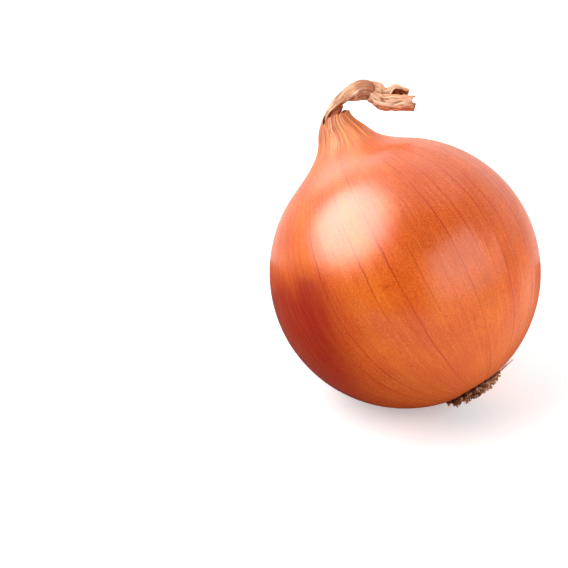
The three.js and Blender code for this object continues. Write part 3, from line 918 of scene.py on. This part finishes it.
# A dark russet card lies on the floor from the left to under the bulb and fades to pale on the right. It is
# seen only in the gloss of the skin.
card_dark = (0.08, 0.01, 0.001, 1)
card_pale = 0.95
card = flat_sheet("gloss_card", left=-0.6, right=0.2, front=-0.5, back=0.08, height=0.0004)
card_russet, start = new_material("card_russet")
place = start.add("ShaderNodeTexCoord", output="Object")
card_colour = place.along((1, -0.8, 0)).over(0.015, 0.1).mix(card_dark, grey(card_pale))
shader = start.add("ShaderNodeBsdfPrincipled", None, {"Base Color": card_colour, "Roughness": 0.9})
start.add("ShaderNodeOutputMaterial", None, {"Surface": shader})
card.data.materials.append(card_russet)
card.visible_camera = False
card.visible_diffuse = False
card.visible_shadow = False
card.visible_transmission = False

# The room is dim on the camera's side and bright behind the onion
room_dim = 0.12
room_bright = 1.4
room = bpy.data.worlds.new("white_room")
room.use_nodes = True
room.node_tree.nodes.clear()
start = Wire(room.node_tree)
direction = start.add("ShaderNodeTexCoord", output="Generated")
depth = direction.add("ShaderNodeSeparateXYZ", None, {"Vector": direction}, "Y")
wall = depth.over(-0.3, 0.8).mix(grey(room_dim), grey(room_bright))
wall = start.add("ShaderNodeLightPath", output="Is Camera Ray").mix(wall, grey(1))
room_light = start.add("ShaderNodeBackground", None, {"Color": wall})
start.add("ShaderNodeOutputWorld", None, {"Surface": room_light})
bpy.context.scene.world = room


def soft_light(name, shape, place, facing, size, radiance):
    data = bpy.data.lights.new(name, "AREA")
    data.shape = shape
    data.size = size[0]
    data.size_y = size[1]
    area = size[0] * size[1] * (math.pi / 4 if shape == "DISK" else 1)
    data.energy = radiance * math.pi * area
    light = bpy.data.objects.new(name, data)
    light.location = place
    light.rotation_euler = Vector(facing).to_track_quat("Z", "Y").to_euler()
    bpy.context.scene.collection.objects.link(light)
    return light


bulb_middle = Vector((0, 0, centre_height))


def round_light(name, side, distance, width, radiance):
    return soft_light(name, "DISK", bulb_middle + distance * side, side, (width, width), radiance)


# The steps of a shine lie one behind the other and add up. A key step has its width and its radiance, and a
# side step the height of its lower edge and its radiance.
shine_step = 0.01
key_side = Vector((-0.66, -0.09, 0.746))
key_shine_distance = 1.1
key_steps = [(0.8, 3.5), (1.15, 7.6), (1.5, 5.4), (1.85, 2.3)]
for step, (width, radiance) in enumerate(key_steps):
    distance = key_shine_distance + shine_step * step
    shine = round_light(f"key_shine_{step}", key_side, distance, width, radiance)
    shine.visible_diffuse = False
round_light("key_light", key_side, distance=1.2, width=1.5, radiance=3.05)

side_turn = math.radians(-32)
side_facing = Vector((math.cos(side_turn), math.sin(side_turn), 0))
side_distance = 1.1
side_middle = Vector((0, 0, 0.62))
side_size = (1.36, 1.06)
side_radiance = 2.9
side_place = side_distance * side_facing + side_middle
side_light = soft_light("side_light", "RECTANGLE", side_place, side_facing, side_size, side_radiance)
side_light.visible_glossy = False
side_shine_distance = 1.08
side_width = 1.32
side_top = 1.15
side_steps = [(0.02, 1.3), (0.12, 1.5), (0.24, 1.6), (0.38, 1.6)]
for step, (bottom, radiance) in enumerate(side_steps):
    middle = Vector((0, 0, (side_top + bottom) / 2))
    place = (side_shine_distance + shine_step * step) * side_facing + middle
    size = (side_width, side_top - bottom)
    shine = soft_light(f"side_shine_{step}", "RECTANGLE", place, side_facing, size, radiance)
    shine.visible_diffuse = False

neck_side = Vector((-0.4, 0.81, 0.42))
neck_shine = round_light("neck_shine", neck_side, distance=1.3, width=0.8, radiance=2.3)
neck_shine.visible_diffuse = False
top_side = Vector((0.05, 0.42, 0.9))
top_shine = round_light("top_shine", top_side, distance=1.3, width=1.7, radiance=1.3)
top_shine.visible_diffuse = False

# Camera. A long lens from the front, looking down on the bulb, aimed so that the bulb's middle falls where
# it does in the 568 by 568 pixel picture.
picture_width = 568
bulb_pixel = (404.13, 273.09)
lens = 150.31
sensor = 36.0
camera_distance = 0.7
camera_elevation = math.radians(30)
right = Vector((1, 0, 0))
up = Vector((0, math.sin(camera_elevation), math.cos(camera_elevation)))
back = Vector((0, -math.cos(camera_elevation), math.sin(camera_elevation)))
facing = Matrix((right, up, back)).transposed()
pixel_size = sensor / picture_width / lens
across = (bulb_pixel[0] - picture_width / 2) * pixel_size
down = (bulb_pixel[1] - picture_width / 2) * pixel_size
aim = Vector((0, 0, -1)).rotation_difference(Vector((across, -down, -1))).to_matrix()
camera_data = bpy.data.cameras.new("camera")
camera_data.lens = lens
camera_data.sensor_width = sensor
camera = bpy.data.objects.new("camera", camera_data)
camera.matrix_world = (facing @ aim.transposed()).to_4x4()
camera.location = bulb_middle + camera_distance * back
bpy.context.scene.collection.objects.link(camera)
bpy.context.scene.camera = camera
bpy.context.scene.view_settings.view_transform = "Standard"
